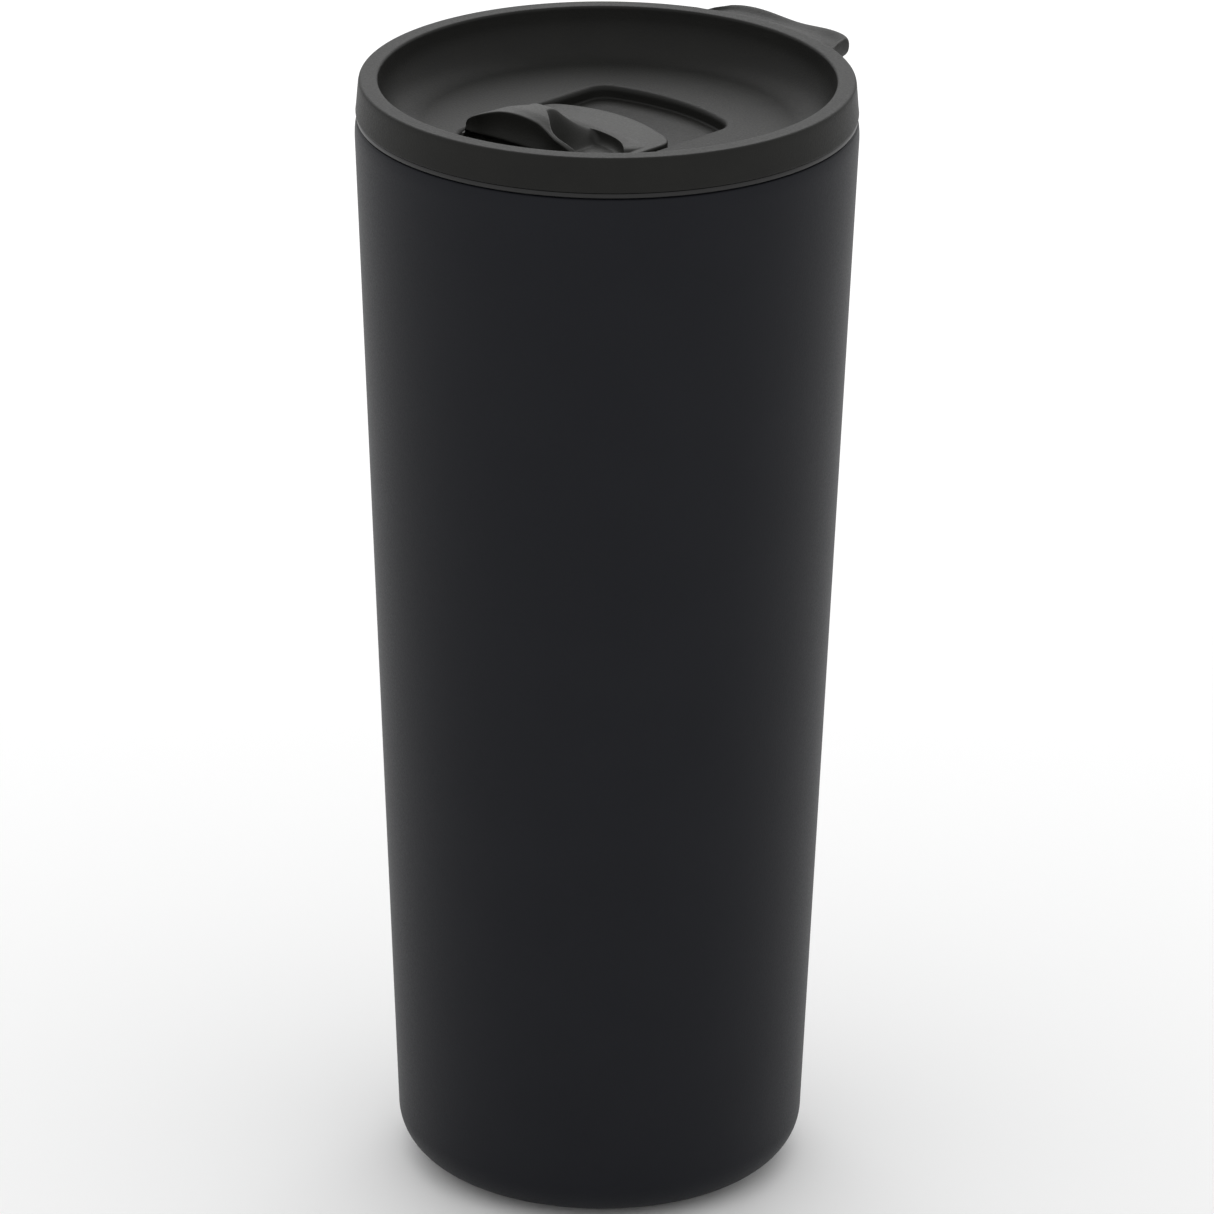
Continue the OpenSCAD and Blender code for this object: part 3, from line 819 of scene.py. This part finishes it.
def outward(edges):
    """Flat direction away from the plate where these rim edges meet."""
    mid = (Y0_S + Y1_S) / 2
    total = Vector((0, 0))
    for e in edges:
        d = (e.verts[1].co - e.verts[0].co)
        nrm = Vector((d.y, -d.x))
        c = (e.verts[0].co + e.verts[1].co) / 2
        if nrm.dot(Vector((c.x, c.y - mid * MM))) < 0:
            nrm = -nrm
        if nrm.length > 0:
            total += nrm.normalized()
    return total.normalized() if total.length > 0 else total


def grow(bm, edges, side, down):
    """Extrude a rim sideways and down by millimetres."""
    made = bmesh.ops.extrude_edge_only(bm, edges=edges)["geom"]
    new = [g for g in made if isinstance(g, bmesh.types.BMEdge) and g.is_boundary]
    moves = {v: outward([e for e in new if v in e.verts]) for v in verts_of(new)}
    for v, d in moves.items():
        v.co.x += d.x * side * MM
        v.co.y += d.y * side * MM
        v.co.z += down * MM
    return new


def level(bm, edges, z):
    """Extrude a rim straight down to one height."""
    made = bmesh.ops.extrude_edge_only(bm, edges=edges)["geom"]
    new = [g for g in made if isinstance(g, bmesh.types.BMEdge) and g.is_boundary]
    for v in verts_of(new):
        v.co.z = z * MM
    return new


def snap_leg(bm, s):
    """Leg with a hooked tip, carried down through the lid's slot."""
    ya, yb = LEG_Y0, LEG_Y1
    xa, xb = LEG_X - LEG_HALF, LEG_X + LEG_HALF
    clip = CLIP_LOW[2]
    rows = [(xa, xb, SLIDE_BOT + 0.3), (xa, xb, clip - 0.05), (xa, xb + 0.35, clip - 0.05),
            (xa, xb + 0.35, clip - 0.45), (xa, xa + 0.96, clip - 1.2)]
    loops = []
    for x0, x1, z in rows:
        pts = [(x1, ya, z), (x1, yb, z), (x0, yb, z), (x0, ya, z)]
        loops.append([(s * x, y, zz) for x, y, zz in pts])
    rings = loft(bm, loops)
    bmesh.ops.holes_fill(bm, edges=rings[-1], sides=4)
    bmesh.ops.holes_fill(bm, edges=rings[0], sides=4)


def drinking_pad():
    z0, z1 = PAD_LOW[2], PAD_HIGH[2]
    w, ya, yb = 10.3, PAD_LOW[1], PAD_HIGH[1]
    bm = bmesh.new()

    def ring(g, z):
        return pill_loop(w - g, ya + g, yb - g, 3.0 - min(g, 2.2), z)

    loops = [ring(0.0, z1), ring(0.0, z0 + 0.25), ring(0.08, z0 + 0.08), ring(0.25, z0)]
    loops += [ring(1.6, z0), ring(1.8, z0 + 0.08), ring(1.9, z0 + 0.3), ring(2.4, z0 + 0.4)]
    rings = loft(bm, loops)
    fill(bm, rings[0], 1)
    fill(bm, rings[-1], -1)
    return finish_piece(bm, "drinking_pad", "slider", SEAL_SI, ("slider_seal",))


def snap_retainer():
    z0, z1 = CLIP_LOW[2], CLIP_HIGH[2]
    w, ya, yb = CLIP_HIGH[0], CLIP_LOW[1], CLIP_HIGH[1]
    bm = bmesh.new()

    def ring(g, z):
        return pill_loop(w - g, ya + g, yb - g, 1.4 - g, z)

    e = 0.35
    loops = [ring(e * 1.3, z1)]
    loops += [ring(e - e * sin(radians(a)), z1 - e + e * cos(radians(a))) for a in range(0, 91, 30)]
    loops += [ring(e - e * sin(radians(a)), z0 + e - e * cos(radians(a))) for a in range(90, -1, -30)]
    loops += [ring(e * 1.3, z0)]
    rings = loft(bm, loops)
    tops, lows = [], []
    for s in (-1, 1):
        hole = loft(bm, [pill_loop(LEG_HALF + 0.05, LEG_Y0 - 0.05, LEG_Y1 + 0.05, 0.2, z, s * LEG_X)
                         for z in (z1, z0)])
        tops += hole[0]
        lows += hole[-1]
    fill(bm, rings[0] + tops, 1)
    fill(bm, rings[-1] + lows, -1)
    return finish_piece(bm, "snap_retainer", "slider", SLIDER_PP, ("slider_retainer",))


# -------------------------------------------------------------- hidden pieces

def dress(name, material):
    """Give a sealed-in node its own finish."""
    for obj in bpy.data.objects:
        if obj.type == "MESH" and obj.name == name:
            obj.data.materials.clear()
            obj.data.materials.append(material)


# ---------------------------------------------------------------------- stage

def camera():
    """Long lens, from the front right and 22 degrees up."""
    el, az, dist = radians(22.06), radians(43.5), 1.460
    back = Vector((sin(az) * cos(el), -cos(az) * cos(el), sin(el)))
    cam = bpy.data.cameras.new("camera")
    obj = place("camera", cam)
    cam.lens = 252.06
    cam.sensor_width = 36.0
    cam.clip_start = 0.01
    cam.clip_end = 20.0
    look = (-back).to_track_quat("-Z", "Y").to_matrix().to_4x4()
    roll = Matrix.Rotation(radians(0.443), 4, "Z")
    obj.matrix_world = Matrix.Translation(Vector((0, 0, 0.100)) + back * dist) @ look @ roll
    cam.shift_x = 0.0030
    cam.shift_y = 0.0059
    bpy.context.scene.camera = obj


def soft_box(name, loc, aim, wide, tall, watts):
    lamp = bpy.data.lights.new(name, "AREA")
    lamp.shape = "RECTANGLE"
    lamp.size = wide
    lamp.size_y = tall
    lamp.energy = watts
    obj = place(name, lamp)
    obj.location = loc
    obj.rotation_euler = (Vector(aim) - Vector(loc)).to_track_quat("-Z", "Y").to_euler()


def studio():
    bm = bmesh.new()
    bmesh.ops.create_grid(bm, x_segments=1, y_segments=1, size=4.0)
    mesh = bpy.data.meshes.new("table")
    bm.to_mesh(mesh)
    bm.free()
    table = place("table", mesh)
    mesh.materials.append(new_material("pale matt table", Roughness=0.9, Base_Color=lin("f2f2f2"))[0])
    world = bpy.data.worlds.new("studio")
    bpy.context.scene.world = world
    world.use_nodes = True
    world.node_tree.nodes["Background"].inputs["Color"].default_value = lin("ffffff")
    world.node_tree.nodes["Background"].inputs["Strength"].default_value = 0.92
    soft_box("back light", (-0.62, 0.66, 0.80), (0, 0, 0.19), 1.3, 0.8, 5.0)
    bpy.context.scene.view_settings.view_transform = "Standard"


coated_shell()
steel_liner()
base_disc()
cover_disc()
foot_band()
moulded_lid()
lip_seal()
grip_slider()
drinking_pad()
snap_retainer()
dress("liner_foil", FOIL_CU)
dress("getter", GETTER_MT)
dress("getter_clip", CLIP_SS)
dress("vacuum_seal", BEAD_GL)
camera()
studio()
